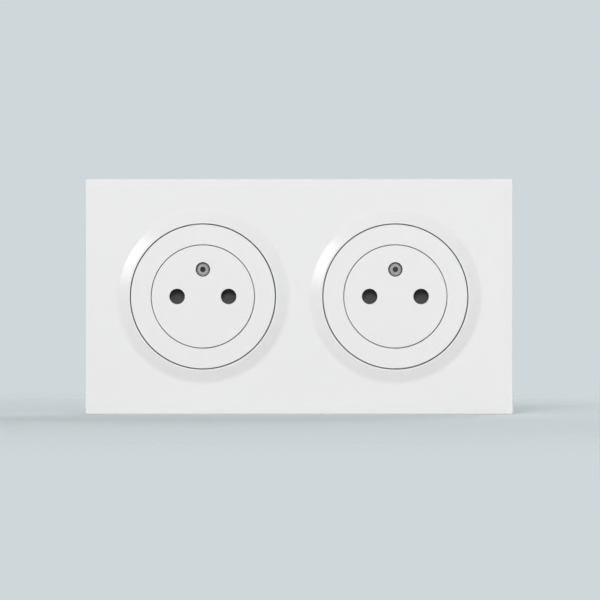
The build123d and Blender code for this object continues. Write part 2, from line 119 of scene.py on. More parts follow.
# %% Camera
PICTURE_WIDTH = 221.3 * MM
AIM_X = 0.32 * MM
AIM_Z = -1.29 * MM
LENS = 300.0
SENSOR = 36.0
face_y = cad_box[0][1]
lens = bpy.data.cameras.new("front_camera")
lens.lens = LENS
lens.sensor_width = SENSOR
camera = bpy.data.objects.new("front_camera", lens)
camera.location = (AIM_X, face_y - PICTURE_WIDTH * LENS / SENSOR, AIM_Z)
camera.rotation_euler = (math.radians(90), 0, 0)
scene.collection.objects.link(camera)
scene.camera = camera
scene.view_settings.view_transform = "Standard"
print("camera stands", round(-camera.location.y, 3), "m in front of the mounting plane")

# %% [markdown]
# ## The dome
# White plastic shows its shape only by small differences of light. A dome that is brighter in front and
# behind than at the sides keeps the flats even and makes the slopes a little darker. It could be built
# from many lamps, but a rule in the world's nodes is smoother and leaves no lamp shapes on the plastic.
# What the camera and the reflections see is a plain pale backdrop.

# %% Dome
BACKDROP = "#CFD7DA"
DOME_LEVEL = 0.30
DOME_FRONT = 0.85
DOME_UP = 0.08
dome = bpy.data.worlds.new("studio_dome")
scene.world = dome
dome.use_nodes = True
tree = dome.node_tree
tree.nodes.clear()
direction = add(tree, "ShaderNodeTexCoord")["Generated"]
part = add(tree, "ShaderNodeSeparateXYZ", {"Vector": direction})
front = add(tree, "ShaderNodeMath", {0: part["Y"], 1: part["Y"]}, operation="MULTIPLY")[0]
even = add(tree, "ShaderNodeMath", {0: front, 1: DOME_FRONT, 2: DOME_LEVEL}, operation="MULTIPLY_ADD")
level = add(tree, "ShaderNodeMath", {0: part["Z"], 1: DOME_UP, 2: even[0]}, operation="MULTIPLY_ADD")
soft_light = add(tree, "ShaderNodeBackground", {"Strength": level[0]})
backdrop = add(tree, "ShaderNodeBackground", {"Color": linear(BACKDROP), "Strength": 1.0})
path = add(tree, "ShaderNodeLightPath")
seen = add(tree, "ShaderNodeMath", {0: path["Is Camera Ray"], 1: path["Is Glossy Ray"]}, operation="MAXIMUM")
seen = add(tree, "ShaderNodeMath", {0: seen[0], 1: path["Is Transmission Ray"]}, operation="MAXIMUM")
shown = add(tree, "ShaderNodeMixShader", {0: seen[0], 1: soft_light[0], 2: backdrop[0]})
add(tree, "ShaderNodeOutputWorld", {"Surface": shown[0]})
print("dome: front", round(DOME_LEVEL + DOME_FRONT, 2), "side", DOME_LEVEL)

# %% [markdown]
# ## The lamps
# In a studio a softbox does two things: it lights the object, and its own bright shape is mirrored on it.
# Here the two are kept apart, so that each can be set by itself: a lamp gives light alone, and a card shows
# in reflections alone. A card fades towards its edges, as the front of a softbox does.

# %% Softboxes and cards
CARD_MIDDLE = (0.5, 0.5, 0.0)
CARD_BRIGHT = 0.2
CARD_DARK = 0.5


def softbox(name, towards, distance, width, height, radiance, across=(1, 0, 0)):
    """A rectangular lamp that faces the origin; across is the direction of its width."""
    light = bpy.data.lights.new(name, "AREA")
    light.shape = "RECTANGLE"
    light.size = width
    light.size_y = height
    light.energy = radiance * math.pi * width * height
    back = Vector(towards).normalized()
    side = Vector(across)
    side = (side - back * side.dot(back)).normalized()
    lamp = bpy.data.objects.new(name, light)
    turn = Matrix((side, back.cross(side), back)).transposed()
    lamp.matrix_world = Matrix.Translation(back * distance) @ turn.to_4x4()
    scene.collection.objects.link(lamp)
    print(name, "radiance", radiance, "at", [round(v, 2) for v in lamp.location])
    return lamp


def card(name, **setting):
    """A softbox that only reflections see, bright in its middle and dark at its edges."""
    lamp = softbox(name, **setting)
    lamp.visible_diffuse = False
    lamp.data.use_nodes = True
    tree = lamp.data.node_tree
    spot = add(tree, "ShaderNodeNewGeometry")["Parametric"]
    middle = add(tree, "ShaderNodeVectorMath", {0: spot, 1: CARD_MIDDLE}, operation="DISTANCE")
    fade = add(
        tree,
        "ShaderNodeMapRange",
        {"Value": middle["Value"], "From Min": CARD_DARK, "From Max": CARD_BRIGHT},
        interpolation_type="SMOOTHSTEP",
    )
    tree.links.new(fade["Result"], tree.nodes["Emission"].inputs["Strength"])


# %% [markdown]
# A soft key from the upper left gives the pin holes their dark crescents, and a fill lights the back. The
# bright patch on each collar is the mirror image of a card at the upper left. The collar slopes by 30
# degrees, so a card 60 degrees off the camera's axis is mirrored there. A second card gives the metal at
# the back something bright to mirror.

# %% Key, fill and two cards
key = softbox("key", (-0.12, -0.89, 0.42), distance=3.6, width=1.12, height=1.12, radiance=12.8)
rear_fill = softbox("rear_fill", (0.45, 0.75, 0.50), distance=1.6, width=0.6, height=0.6, radiance=6.0)
for lamp in (key, rear_fill):
    lamp.visible_glossy = False
collar_turn = math.radians(152)
card_lean = math.radians(60)
card_towards = (
    math.sin(card_lean) * math.cos(collar_turn),
    -math.cos(card_lean),
    math.sin(card_lean) * math.sin(collar_turn),
)
card_across = (-math.sin(collar_turn), 0, math.cos(collar_turn))
card(
    "collar_card",
    towards=card_towards,
    distance=1.2,
    width=0.9,
    height=0.5,
    radiance=5.4,
    across=card_across,
)
card("rear_card", towards=(0.10, 0.90, 0.42), distance=1.4, width=1.4, height=0.7, radiance=1.6)

# %% [markdown]
# ## The floor
# A pale studio floor touches the plate's lower edge, so the socket is grounded by a soft shadow from any
# side. The camera sees it in a colour that comes out the same as the backdrop under this light, and the
# object gets the bounce of white paper. It fades away with distance, so that no horizon cuts the picture.

# %% Floor
FLOOR_RADIUS = 0.55
FLOOR_CLEAR = 0.12
FLOOR_COLOUR = "#E0E8EB"
FLOOR_BOUNCE = "#EBEBEB"
FLOOR_CORNERS = 96
PAPER_ROUGHNESS = 0.9
PAPER_SPECULAR = 0.1
floor_z = cad_box[0][2]
floor_mesh = bpy.data.meshes.new("floor")
turns = [math.tau * i / FLOOR_CORNERS for i in range(FLOOR_CORNERS)]
rim = [(FLOOR_RADIUS * math.cos(turn), FLOOR_RADIUS * math.sin(turn), floor_z) for turn in turns]
floor_mesh.from_pydata(rim, [], [range(FLOOR_CORNERS)])
floor = bpy.data.objects.new("floor", floor_mesh)
scene.collection.objects.link(floor)
paper = bpy.data.materials.new("studio_paper")
paper.use_nodes = True
tree = paper.node_tree
matt = tree.nodes["Principled BSDF"]
matt.inputs["Roughness"].default_value = PAPER_ROUGHNESS
matt.inputs["Specular IOR Level"].default_value = PAPER_SPECULAR
camera_sees = add(tree, "ShaderNodeLightPath")["Is Camera Ray"]
hue = add(
    tree,
    "ShaderNodeMix",
    {"Factor": camera_sees, 6: linear(FLOOR_BOUNCE), 7: linear(FLOOR_COLOUR)},
    data_type="RGBA",
)
tree.links.new(hue[2], matt.inputs["Base Color"])
place = add(tree, "ShaderNodeTexCoord")["Object"]
reach = add(tree, "ShaderNodeVectorMath", {0: place}, operation="LENGTH")
fade = add(
    tree,
    "ShaderNodeMapRange",
    {"Value": reach["Value"], "From Min": FLOOR_RADIUS, "From Max": FLOOR_CLEAR},
    interpolation_type="SMOOTHSTEP",
)
clear = add(tree, "ShaderNodeBsdfTransparent")
faded = add(tree, "ShaderNodeMixShader", {0: fade["Result"], 1: clear[0], 2: matt.outputs[0]})
tree.links.new(faded[0], tree.nodes["Material Output"].inputs["Surface"])
floor_mesh.materials.append(paper)
print("floor at", round(floor_z / MM, 1), "mm")

# %% [markdown]
# ## Finishes
# Each finish starts from the real material and how its surface was made. The pieces sit at the origin, so
# Object coordinates are metres on the real thing, and a pattern's scale is one over its real size. Three
# helpers say what a pattern does: it varies the roughness, tints the colour or raises the surface. A noise
# seldom leaves its middle range, so that range is spread over the whole span.


# %% What every finish starts from
NOISE_LOW = 0.3
NOISE_HIGH = 0.7


def finish(name, colour, roughness, metallic=0.0):
    """A new material, its tree, its shader and the place of each point on the object."""
    made = bpy.data.materials.new(name)
    made.use_nodes = True
    tree = made.node_tree
    shader = tree.nodes["Principled BSDF"]
    shader.inputs["Base Color"].default_value = linear(colour)
    shader.inputs["Roughness"].default_value = roughness
    shader.inputs["Metallic"].default_value = metallic
    print("finish", name, colour, "roughness", roughness)
    return made, tree, shader, add(tree, "ShaderNodeTexCoord")["Object"]


def vary(tree, shader, pattern, low, high):
    """Spreads a noise between two roughnesses."""
    ends = {"From Min": NOISE_LOW, "From Max": NOISE_HIGH, "To Min": low, "To Max": high}
    spread = add(tree, "ShaderNodeMapRange", {"Value": pattern, **ends})
    tree.links.new(spread["Result"], shader.inputs["Roughness"])


def tint(tree, shader, pattern, low, high):
    """Spreads a noise between two colours."""
    ends = {"From Min": NOISE_LOW, "From Max": NOISE_HIGH}
    share = add(tree, "ShaderNodeMapRange", {"Value": pattern, **ends})["Result"]
    mixed = add(tree, "ShaderNodeMix", {"Factor": share, 6: linear(low), 7: linear(high)}, data_type="RGBA")
    tree.links.new(mixed[2], shader.inputs["Base Color"])
    return mixed[2]


def relief(tree, shader, pattern, depth):
    """Raises a pattern from 0 to 1 by a depth in metres."""
    bump = add(tree, "ShaderNodeBump", {"Height": pattern, "Distance": depth})
    tree.links.new(bump["Normal"], shader.inputs["Normal"])


# %% [markdown]
# ### Glossy white plate
# The plate is moulded in a polished tool, in white ABS. A polished moulding mirrors lamps sharply, but
# its skin shrinks a little unevenly, which the eye reads as a faint wave in the highlights.

# %% Gloss white ABS
gloss_white, tree, shader, place = finish("gloss_white_abs", "#F0F0F0", roughness=0.2)
wave = add(tree, "ShaderNodeTexNoise", {"Vector": place, "Scale": 1 / (4.0 * MM), "Detail": 1.0})["Fac"]
vary(tree, shader, wave, low=0.19, high=0.22)
relief(tree, shader, wave, depth=0.0015 * MM)

# %% [markdown]
# ### Satin white faces
# The ring and the well disc are touched by every plug, so their tool is spark eroded: fine grains of
# about a third of a millimetre, which hide scratches and dull the reflections.

# %% Satin white ABS
satin_white, tree, shader, place = finish("satin_white_abs", "#F0F0F0", roughness=0.34)
grain = add(tree, "ShaderNodeTexNoise", {"Vector": place, "Scale": 1 / (0.35 * MM), "Detail": 2.0})["Fac"]
vary(tree, shader, grain, low=0.3, high=0.4)
relief(tree, shader, grain, depth=0.006 * MM)

# %% [markdown]
# ### Inner plastics
# The retainer is natural nylon, a milky resin that lets some light in. The shutter is dark grey nylon, so
# that the pin holes look black. The housing is grey PBT filled with glass, whose fibres leave faint streaks
# about half a millimetre wide along the way the melt ran, here along Y.

# %% Natural nylon, dark grey nylon and grey PBT
MILKINESS = 0.3
MILK_DEPTH = 0.8 * MM
MELT_FLOW = (1.0, 0.3, 1.0)
nylon, tree, shader, place = finish("natural_nylon", "#E2DDD0", roughness=0.45)
shader.inputs["Subsurface Weight"].default_value = MILKINESS
shader.inputs["Subsurface Scale"].default_value = MILK_DEPTH
cloud = add(tree, "ShaderNodeTexNoise", {"Vector": place, "Scale": 1 / (5.0 * MM)})["Fac"]
tint(tree, shader, cloud, low="#DBD5C6", high="#E8E4DA")

dark_nylon, tree, shader, place = finish("dark_grey_nylon", "#474645", roughness=0.5)
grain = add(tree, "ShaderNodeTexNoise", {"Vector": place, "Scale": 1 / (0.4 * MM)})["Fac"]
vary(tree, shader, grain, low=0.42, high=0.58)
relief(tree, shader, grain, depth=0.008 * MM)

housing_grey, tree, shader, place = finish("grey_glass_filled_pbt", "#BFC1C2", roughness=0.5)
drawn_out = add(tree, "ShaderNodeMapping", {"Vector": place, "Scale": MELT_FLOW})["Vector"]
fibre = add(tree, "ShaderNodeTexNoise", {"Vector": drawn_out, "Scale": 1 / (0.5 * MM), "Detail": 3.0})["Fac"]
tint(tree, shader, fibre, low="#BCBEBF", high="#C3C5C5")
vary(tree, shader, fibre, low=0.48, high=0.55)
grain = add(tree, "ShaderNodeTexNoise", {"Vector": place, "Scale": 1 / (0.4 * MM), "Detail": 2.0})["Fac"]
relief(tree, shader, grain, depth=0.01 * MM)

# %% [markdown]
# ### Zinc plate
# The support frames are stamped from sheet steel and plated with zinc, then passivated. The rolls leave
# fine lines along the sheet, about a sixth of a millimetre apart and drawn a little coarser here so that
# they show, and the passivation dries in clouds a few millimetres wide. The screws are barrel plated:
# brighter, with no lines.

# %% Zinc plated sheet and screws
ROLLING = (0.03, 1.0, 1.0)
zinc_sheet, tree, shader, place = finish("zinc_plated_sheet", "#C3C8CD", roughness=0.36, metallic=1.0)
cloud = add(tree, "ShaderNodeTexNoise", {"Vector": place, "Scale": 1 / (6.0 * MM), "Detail": 4.0})["Fac"]
tint(tree, shader, cloud, low="#B7BDC4", high="#D1D4D6")
rolled = add(tree, "ShaderNodeMapping", {"Vector": place, "Scale": ROLLING})["Vector"]
line = add(tree, "ShaderNodeTexNoise", {"Vector": rolled, "Scale": 1 / (0.3 * MM), "Detail": 2.0})["Fac"]
vary(tree, shader, line, low=0.26, high=0.46)
relief(tree, shader, line, depth=0.006 * MM)

zinc_screw, tree, shader, place = finish("zinc_plated_screw", "#CDD0D3", roughness=0.3, metallic=1.0)
cloud = add(tree, "ShaderNodeTexNoise", {"Vector": place, "Scale": 1 / (1.2 * MM), "Detail": 3.0})["Fac"]
tint(tree, shader, cloud, low="#BBC0C6", high="#DADBDA")
vary(tree, shader, cloud, low=0.22, high=0.4)

# %% [markdown]
# ### Spring steel and brass
# Spring wire is drawn through dies and stays a dull grey with fine scratches. Contacts, straps and terminals
# are bare brass, stamped or sawn from bar, which tarnishes in soft patches.

# %% Spring steel and brass
spring_steel, tree, shader, place = finish("drawn_spring_steel", "#A3A5A8", roughness=0.3, metallic=1.0)
draw = add(tree, "ShaderNodeTexNoise", {"Vector": place, "Scale": 1 / (0.3 * MM), "Detail": 3.0})["Fac"]
tint(tree, shader, draw, low="#8F9195", high="#B3B5B7")
vary(tree, shader, draw, low=0.24, high=0.4)

brass, tree, shader, place = finish("bare_brass", "#D3AE66", roughness=0.32, metallic=1.0)
tarnish = add(tree, "ShaderNodeTexNoise", {"Vector": place, "Scale": 1 / (3.0 * MM), "Detail": 4.0})["Fac"]
tint(tree, shader, tarnish, low="#BE9550", high="#E2C381")
vary(tree, shader, tarnish, low=0.24, high=0.42)

# %% [markdown]
# ### Nickel plate
# The earth pin is turned brass under a thin nickel plating, so the tool's rings still show. They are a tenth
# of a millimetre apart and drawn coarser here. The plating doesn't reach down the narrow bore at the pin's
# front, which stays dark with oxide. A distance from the pin's axis finds the bore, and it is the same for
# both pins once X is made positive.

# %% Nickel plated brass
BORE_RADIUS = 1.02 * MM
TURNING = (0.04, 1.0, 0.04)
OXIDE = "#63605C"
nickel, tree, shader, place = finish("nickel_plated_brass", "#C9C7C2", roughness=0.25, metallic=1.0)
ringed = add(tree, "ShaderNodeMapping", {"Vector": place, "Scale": TURNING})["Vector"]
turned = add(tree, "ShaderNodeTexNoise", {"Vector": ringed, "Scale": 1 / (0.25 * MM), "Detail": 2.0})["Fac"]
plating = tint(tree, shader, turned, low="#BDBBB5", high="#D2D0CC")
vary(tree, shader, turned, low=0.18, high=0.3)
relief(tree, shader, turned, depth=0.004 * MM)
low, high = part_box("right_earth_pin")
pin_axis = ((low[0] + high[0]) / 2, 0.0, (low[2] + high[2]) / 2)
mirrored = add(tree, "ShaderNodeVectorMath", {0: place}, operation="ABSOLUTE")[0]
level = add(tree, "ShaderNodeVectorMath", {0: mirrored, 1: (1, 0, 1)}, operation="MULTIPLY")[0]
reach = add(tree, "ShaderNodeVectorMath", {0: level, 1: pin_axis}, operation="DISTANCE")["Value"]
bored = add(tree, "ShaderNodeMath", {0: reach, 1: BORE_RADIUS}, operation="LESS_THAN")[0]
depth = add(tree, "ShaderNodeSeparateXYZ", {"Vector": place})["Y"]
front = add(tree, "ShaderNodeMath", {0: depth, 1: 0.0}, operation="LESS_THAN")[0]
bored = add(tree, "ShaderNodeMath", {0: bored, 1: front}, operation="MULTIPLY")[0]
oxide = add(tree, "ShaderNodeMix", {"Factor": bored, 6: plating, 7: linear(OXIDE)}, data_type="RGBA")
tree.links.new(oxide[2], shader.inputs["Base Color"])

# %% [markdown]
# ## Dressing the frame
# The record names a material slot for each node, so one table from slot to finish dresses them all. The
# plate, the rings, the discs and the earth pins keep their CAD shape, whose visible rims are rounded
# there already.

# %% Finishes on the frame's nodes
finishes = {
    "gloss_white_plastic": gloss_white,
    "satin_white_plastic": satin_white,
    "natural_nylon": nylon,
    "dark_grey_plastic": dark_nylon,
    "grey_housing_plastic": housing_grey,
    "zinc_plated_steel": zinc_sheet,
    "zinc_plated_screws": zinc_screw,
    "spring_steel": spring_steel,
    "nickel_plated_brass": nickel,
    "brass": brass,
}
slots = {row["node"]: row["material_slot"] for row in frame["record"]["subparts"]}
bodies = {node: body for body, members in frame["record"]["behaviour"]["bodies"].items() for node in members}
for node, slot in slots.items():
    nodes[node].material_slots[0].material = finishes[slot]
print("dressed", len(slots), "nodes in", len(finishes), "finishes")

# %% [markdown]
# ## Softened edges
# A stamped sheet and a moulded block have no knife edges: a punch rolls the edge over and a tool leaves a
# small radius, and that radius is what catches the light. The CAD nodes are loose triangles, so a copy is
# merged, its flat triangles are joined into whole faces, and a small bevel runs along its sharp edges.
# Rounding every edge in the CAD model would say the same at a far greater cost. Weighted normals keep the
# broad faces flat and let the narrow rounded ones turn.


# %% Plain meshes and stand-ins
def plain_mesh(piece):
    """Keeps what the modifiers make as the piece's own mesh, and removes them."""
    evaluated = piece.evaluated_get(bpy.context.evaluated_depsgraph_get())
    piece.data = bpy.data.meshes.new_from_object(evaluated)
    piece.modifiers.clear()


def stand_for(piece, node):
    """The piece rides where a node rides, in its place, and the node is hidden."""
    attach(piece, bodies[node])
    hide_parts(node)


# %% Softening one node
MERGE = 0.002 * MM
FLAT = math.radians(0.6)
SHARP = math.radians(40)
EDGE_SEGMENTS = 2
BROAD_FACES_FIRST = 100


def soften(node, width):
    """A copy of a node with rounded edges, which stands for it."""
    shape = bmesh.new()
    shape.from_mesh(nodes[node].data)
    bmesh.ops.remove_doubles(shape, verts=shape.verts, dist=MERGE)
    bmesh.ops.dissolve_limit(shape, angle_limit=FLAT, verts=shape.verts, edges=shape.edges)
    mesh = bpy.data.meshes.new(f"{node}_softened")
    shape.to_mesh(mesh)
    shape.free()
    mesh.shade_smooth()
    mesh.materials.append(finishes[slots[node]])
    soft = bpy.data.objects.new(f"{node}_softened", mesh)
    scene.collection.objects.link(soft)
    edge = soft.modifiers.new("edge", "BEVEL")
    edge.width = width
    edge.segments = EDGE_SEGMENTS
    edge.limit_method = "ANGLE"
    edge.angle_limit = SHARP
    edge.use_clamp_overlap = False
    shading = soft.modifiers.new("shading", "WEIGHTED_NORMAL")
    shading.weight = BROAD_FACES_FIRST
    plain_mesh(soft)
    stand_for(soft, node)
    return soft


# %% [markdown]
# A radius has to fit the narrowest ledge of its piece, or its faces cross there. The clips of the contacts
# leave a ledge of four hundredths of a millimetre, so theirs is the smallest.

# %% Softened copies of stamped and moulded pieces
edge_radius = {
    "support_frame": 0.08 * MM,
    "rear_housing": 0.06 * MM,
    "contact_cover": 0.12 * MM,
    "shutter_retainer": 0.05 * MM,
    "shutter": 0.05 * MM,
    "earth_strap": 0.12 * MM,
    "live_contact": 0.02 * MM,
    "neutral_contact": 0.02 * MM,
    "live_terminal": 0.03 * MM,
    "neutral_terminal": 0.03 * MM,
    "earth_terminal": 0.03 * MM,
}
for side in sides:
    softened = [soften(f"{side}_{name}", width) for name, width in edge_radius.items()]
    print(side, "softened", len(softened), "pieces,", sum(len(s.data.polygons) for s in softened), "faces")

# %% [markdown]
# ## Shapes that follow a rule
# Springs and screws follow simple rules, so each is a Geometry Nodes tree with named sizes. A tree draws
# one shape and sets a copy of it on each point of the object that carries the tree, so the places stay
# apart from the shape. Its result is kept as a plain mesh.


# %% Starting, ending and running a tree
def shape_tree(name, *sizes):
    """An empty tree with a number input for each named size, and its inputs."""
    tree = bpy.data.node_groups.new(name, "GeometryNodeTree")
    tree.interface.new_socket("Places", in_out="INPUT", socket_type="NodeSocketGeometry")
    for size in sizes:
        tree.interface.new_socket(size, in_out="INPUT", socket_type="NodeSocketFloat")
    tree.interface.new_socket("Shape", in_out="OUTPUT", socket_type="NodeSocketGeometry")
    return tree, add(tree, "NodeGroupInput")


def set_on_places(tree, shape, places, turn, material):
    """Shades the shape by the angle of its edges and sets it on every place."""
    angle = add(tree, "GeometryNodeInputMeshEdgeAngle")["Unsigned Angle"]
    sharp = add(tree, "FunctionNodeCompare", {0: angle, 1: SHARP}, operation="GREATER_THAN")["Result"]
    smooth = add(tree, "GeometryNodeSetShadeSmooth", {"Geometry": shape})[0]
    shaded = add(
        tree,
        "GeometryNodeSetShadeSmooth",
        {"Geometry": smooth, "Selection": sharp, "Shade Smooth": False},
        domain="EDGE",
    )
    copies = add(
        tree,
        "GeometryNodeInstanceOnPoints",
        {"Points": places, "Instance": shaded[0], "Rotation": turn},
    )
    real = add(tree, "GeometryNodeRealizeInstances", {"Geometry": copies[0]})
    dressed = add(tree, "GeometryNodeSetMaterial", {"Geometry": real[0], "Material": material})
    add(tree, "NodeGroupOutput", {"Shape": dressed[0]})


def grow(name, tree, places, sizes):
    """Runs a tree on some places and keeps the result as a plain mesh."""
    mesh = bpy.data.meshes.new(name)
    mesh.from_pydata(places, [], [])
    piece = bpy.data.objects.new(name, mesh)
    scene.collection.objects.link(piece)
    rule = piece.modifiers.new("rule", "NODES")
    rule.node_group = tree
    for socket in tree.interface.items_tree:
        if socket.name in sizes:
            rule[socket.identifier] = sizes[socket.name]
    plain_mesh(piece)
    print(name, "has", len(piece.data.polygons), "faces")
    return piece


# %% [markdown]
# ## The disc springs
# A coil of round wire behind each well disc pushes it out again when the plug is drawn. Its end turns are
# wound closed so that they sit flat. A helix could be drawn point by point; here each point of a straight
# line is moved to its own angle and height. The height is the point's share of the way less a sine, which
# slows the climb to almost nothing at both ends.

# %% Coil tree
COIL_STEPS = 24
COIL_SIDES = 12
CLOSED = 0.9
coil, size = shape_tree("coil_spring", "Coil radius", "Wire radius", "Length", "Turns")
line = add(coil, "GeometryNodeCurvePrimitiveLine")["Curve"]
count = add(coil, "ShaderNodeMath", {0: size["Turns"], 1: COIL_STEPS}, operation="MULTIPLY")[0]
thread = add(coil, "GeometryNodeResampleCurve", {"Curve": line, "Count": count})["Curve"]
share = add(coil, "GeometryNodeSplineParameter")["Factor"]
whole = add(coil, "ShaderNodeMath", {0: share, 1: math.tau}, operation="MULTIPLY")[0]
angle = add(coil, "ShaderNodeMath", {0: whole, 1: size["Turns"]}, operation="MULTIPLY")[0]
swing = add(coil, "ShaderNodeMath", {0: whole}, operation="SINE")[0]
climb = add(coil, "ShaderNodeMath", {0: swing, 1: -CLOSED / math.tau, 2: share}, operation="MULTIPLY_ADD")[0]
across = add(coil, "ShaderNodeMath", {0: angle}, operation="COSINE")[0]
up = add(coil, "ShaderNodeMath", {0: angle}, operation="SINE")[0]
unit = add(coil, "ShaderNodeCombineXYZ", {"X": across, "Y": climb, "Z": up})[0]
radius = size["Coil radius"]
reach = add(coil, "ShaderNodeCombineXYZ", {"X": radius, "Y": size["Length"], "Z": radius})[0]
point = add(coil, "ShaderNodeVectorMath", {0: unit, 1: reach}, operation="MULTIPLY")[0]
wound = add(coil, "GeometryNodeSetPosition", {"Geometry": thread, "Position": point})[0]
section = {"Resolution": COIL_SIDES, "Radius": size["Wire radius"]}
wire = add(coil, "GeometryNodeCurvePrimitiveCircle", section)[0]
solid = add(coil, "GeometryNodeCurveToMesh", {"Curve": wound, "Profile Curve": wire, "Fill Caps": True})[0]
set_on_places(coil, solid, size["Places"], (0, 0, 0), spring_steel)
print("coil tree has", len(coil.nodes), "nodes")

# %% [markdown]
# The coil is as long as its CAD solid and touches the same seats. When a plug presses the disc in, the far
# end stays on its seat in the housing and the rest closes up towards it.

# %% Disc springs
WIRE = 0.8 * MM
COIL_TURNS = 6.0
for side in sides:
    low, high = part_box(f"{side}_disc_spring")
    middle = [(a + b) / 2 for a, b in zip(low, high)]
    length = high[1] - low[1]
    coil_sizes = {
        "Coil radius": (high[0] - low[0] - WIRE) / 2,
        "Wire radius": WIRE / 2,
        "Length": length - WIRE,
        "Turns": COIL_TURNS,
    }
    spring = grow(f"{side}_coil", coil, [(middle[0], low[1] + WIRE / 2, middle[2])], coil_sizes)
    stand_for(spring, f"{side}_disc_spring")
    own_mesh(spring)

# %% [markdown]
# ## The shutter springs
# A bow of flat spring strip holds each shutter up over the pin holes. The strip is a rectangle with rounded
# edges, swept along an arc through its two feet and its crown. Pins that press the shutter down flatten the
# bow on its feet.

# %% Leaf tree
LEAF_STEPS = 48
LEAF_ROUND_STEPS = 3
LEAF_ROUND_SHARE = 0.3
leaf, size = shape_tree("bow_spring", "Radius", "Sweep", "Width", "Thickness")
start = add(leaf, "ShaderNodeMath", {0: math.pi, 1: size["Sweep"]}, operation="SUBTRACT")[0]
start = add(leaf, "ShaderNodeMath", {0: start, 1: 0.5}, operation="MULTIPLY")[0]
bow = add(
    leaf,
    "GeometryNodeCurveArc",
    {"Resolution": LEAF_STEPS, "Radius": size["Radius"], "Start Angle": start, "Sweep Angle": size["Sweep"]},
)["Curve"]
strip = add(
    leaf,
    "GeometryNodeCurvePrimitiveQuadrilateral",
    {"Width": size["Thickness"], "Height": size["Width"]},
)[0]
corner = add(leaf, "ShaderNodeMath", {0: size["Thickness"], 1: LEAF_ROUND_SHARE}, operation="MULTIPLY")[0]
strip = add(
    leaf,
    "GeometryNodeFilletCurve",
    {"Curve": strip, "Count": LEAF_ROUND_STEPS, "Radius": corner, "Limit Radius": True},
    mode="POLY",
)[0]
solid = add(leaf, "GeometryNodeCurveToMesh", {"Curve": bow, "Profile Curve": strip, "Fill Caps": True})[0]
set_on_places(leaf, solid, size["Places"], (math.radians(90), 0, 0), spring_steel)
print("leaf tree has", len(leaf.nodes), "nodes")

# %% [markdown]
# The arc's radius follows from the solid's box: the bow is a little more than half a circle, so the box is
# two radii wide, and what its height has beyond one radius is how far the feet turn in.

# %% Shutter springs
LEAF_THICKNESS = 0.35 * MM
for side in sides:
    low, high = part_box(f"{side}_shutter_spring")
    radius = (high[0] - low[0] - LEAF_THICKNESS) / 2
    centre = ((low[0] + high[0]) / 2, (low[1] + high[1]) / 2, high[2] - LEAF_THICKNESS / 2 - radius)
    sweep = math.pi + 2 * math.asin((centre[2] - low[2]) / (radius + LEAF_THICKNESS / 2))
    leaf_sizes = {
        "Radius": radius,
        "Sweep": sweep,
        "Width": high[1] - low[1],
        "Thickness": LEAF_THICKNESS,
    }
    spring = grow(f"{side}_bow", leaf, [centre], leaf_sizes)
    stand_for(spring, f"{side}_shutter_spring")
    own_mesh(spring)

# %% [markdown]
# ## The screws
# Slotted cheese-head screws hold the housings and clamp the wires. They are what repeats here, so one tree
# draws a screw of any size, head up, with the top of its head at the origin. The head starts as a cylinder,
# and a rule draws its upper rings in along a quarter circle, as a heading tool leaves them. A box cuts the
# slot. It is longer than the head is wide, and half of it stands above the head. The number of steps is
# odd, so that no ring lies level with the slot's floor halfway down, where the cut would fail.

# %% Screw tree, head and slot
SCREW_SIDES = 40
HEAD_STEPS = 11
BLADE_RADII = 3.0
BLADE_DEPTHS = 2.0
screw, size = shape_tree(
    "slotted_screw",
    "Head radius",
    "Head height",
    "Round",
    "Slot width",
    "Slot depth",
    "Shank radius",
    "Shank length",
    "Pitch",
)
blank = add(
    screw,
    "GeometryNodeMeshCylinder",
    {
        "Vertices": SCREW_SIDES,
        "Side Segments": HEAD_STEPS,
        "Radius": size["Head radius"],
        "Depth": size["Head height"],
    },
)["Mesh"]
sunk = add(screw, "ShaderNodeMath", {0: size["Head height"], 1: -0.5}, operation="MULTIPLY")[0]
sunk = add(screw, "ShaderNodeCombineXYZ", {"Z": sunk})[0]
blank = add(screw, "GeometryNodeTransform", {"Geometry": blank, "Translation": sunk})[0]
spot = add(screw, "GeometryNodeInputPosition")[0]
level = add(screw, "ShaderNodeSeparateXYZ", {"Vector": spot})["Z"]
rise = add(screw, "ShaderNodeMath", {0: level, 1: size["Round"]}, operation="ADD")[0]
rise = add(screw, "ShaderNodeMath", {0: rise, 1: size["Round"]}, operation="DIVIDE", use_clamp=True)[0]
chord = add(screw, "ShaderNodeMath", {0: rise, 1: rise}, operation="MULTIPLY")[0]
chord = add(screw, "ShaderNodeMath", {0: 1.0, 1: chord}, operation="SUBTRACT")[0]
chord = add(screw, "ShaderNodeMath", {0: chord}, operation="SQRT")[0]
rim = add(screw, "ShaderNodeMath", {0: size["Round"], 1: size["Head radius"]}, operation="DIVIDE")[0]
flat = add(screw, "ShaderNodeMath", {0: 1.0, 1: rim}, operation="SUBTRACT")[0]
draw = add(screw, "ShaderNodeMath", {0: chord, 1: rim, 2: flat}, operation="MULTIPLY_ADD")[0]
draw = add(screw, "ShaderNodeCombineXYZ", {"X": draw, "Y": draw, "Z": 1.0})[0]
drawn = add(screw, "ShaderNodeVectorMath", {0: spot, 1: draw}, operation="MULTIPLY")[0]
head = add(screw, "GeometryNodeSetPosition", {"Geometry": blank, "Position": drawn})[0]
long = add(screw, "ShaderNodeMath", {0: size["Head radius"], 1: BLADE_RADII}, operation="MULTIPLY")[0]
deep = add(screw, "ShaderNodeMath", {0: size["Slot depth"], 1: BLADE_DEPTHS}, operation="MULTIPLY")[0]
blade = add(screw, "ShaderNodeCombineXYZ", {"X": long, "Y": size["Slot width"], "Z": deep})[0]
blade = add(screw, "GeometryNodeMeshCube", {"Size": blade})["Mesh"]
